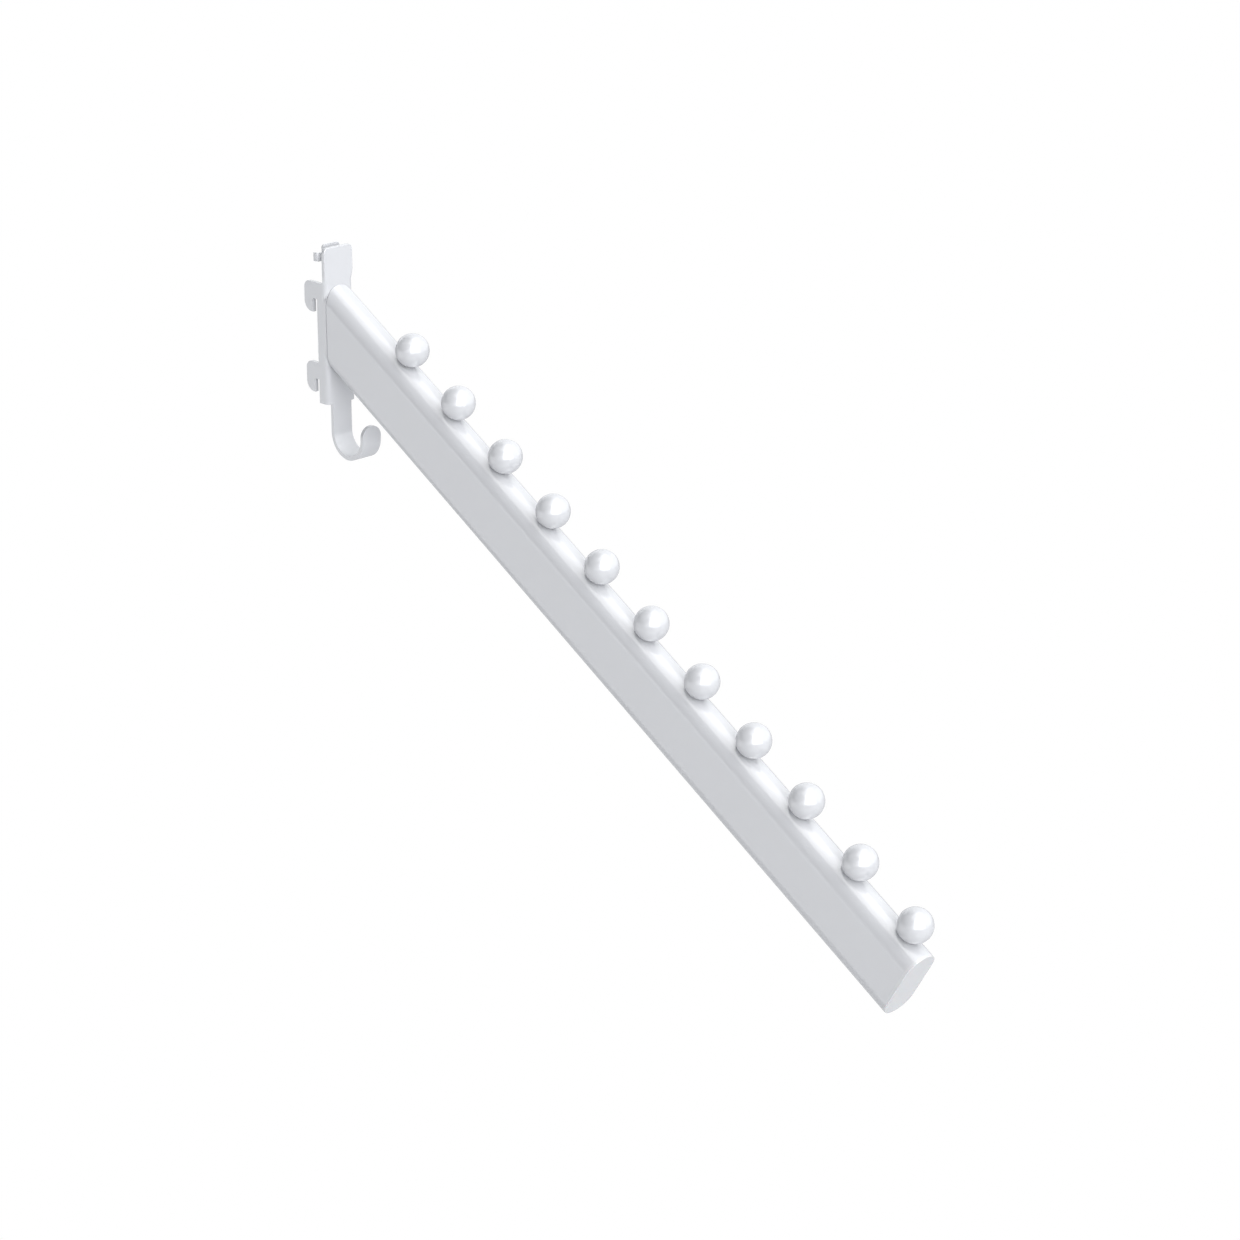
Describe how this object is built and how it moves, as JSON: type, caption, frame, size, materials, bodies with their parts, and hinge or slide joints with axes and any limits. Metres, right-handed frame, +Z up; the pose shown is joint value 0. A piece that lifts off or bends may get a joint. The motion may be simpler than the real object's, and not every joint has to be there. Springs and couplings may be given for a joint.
{
  "type": "sloping hanging arm",
  "caption": "Sloping flat-oval hanging arm with stop balls, on a folded bracket with hooks for a slotted upright, a spring lock leaf and a J-shaped accessory hook.",
  "frame": {"origin": "face of the upright, on the plane of symmetry, at the height where the tube's centre line meets the front of the bracket", "axes": "+X out from the upright along the arm, +Y across the arm, +Z up"},
  "size_m": [0.3217, 0.014, 0.219],
  "materials": {
    "powder_coat": "gloss white powder coat on steel",
    "powder_coat_leaf": "gloss white powder coat on spring steel",
    "rivet_steel": "coated over with the bracket",
    "cap_plastic": "white moulded plastic, matched to the coat"
  },
  "bodies": {
    "arm": {"bracket": "powder_coat", "leaf_rivet_left": "rivet_steel", "leaf_rivet_right": "rivet_steel", "arm_tube": "powder_coat", "groove_weld_left": "powder_coat", "groove_weld_right": "powder_coat", "end_cap": "cap_plastic", "stop_ball_01": "powder_coat", "stop_ball_02": "powder_coat", "stop_ball_03": "powder_coat", "stop_ball_04": "powder_coat", "stop_ball_05": "powder_coat", "stop_ball_06": "powder_coat", "stop_ball_07": "powder_coat", "stop_ball_08": "powder_coat", "stop_ball_09": "powder_coat", "stop_ball_10": "powder_coat", "stop_ball_11": "powder_coat"},
    "lock_leaf": {"lock_leaf": "powder_coat_leaf"}
  },
  "joints": [
    {"name": "lock_leaf_flex", "type": "hinge", "parent": "arm", "child": "lock_leaf", "pos_m": [0.0028, 0, 0], "axis": [0, 1, 0], "range_deg": [0, 3.5], "stiffness_Nm_per_rad": 4}
  ]
}
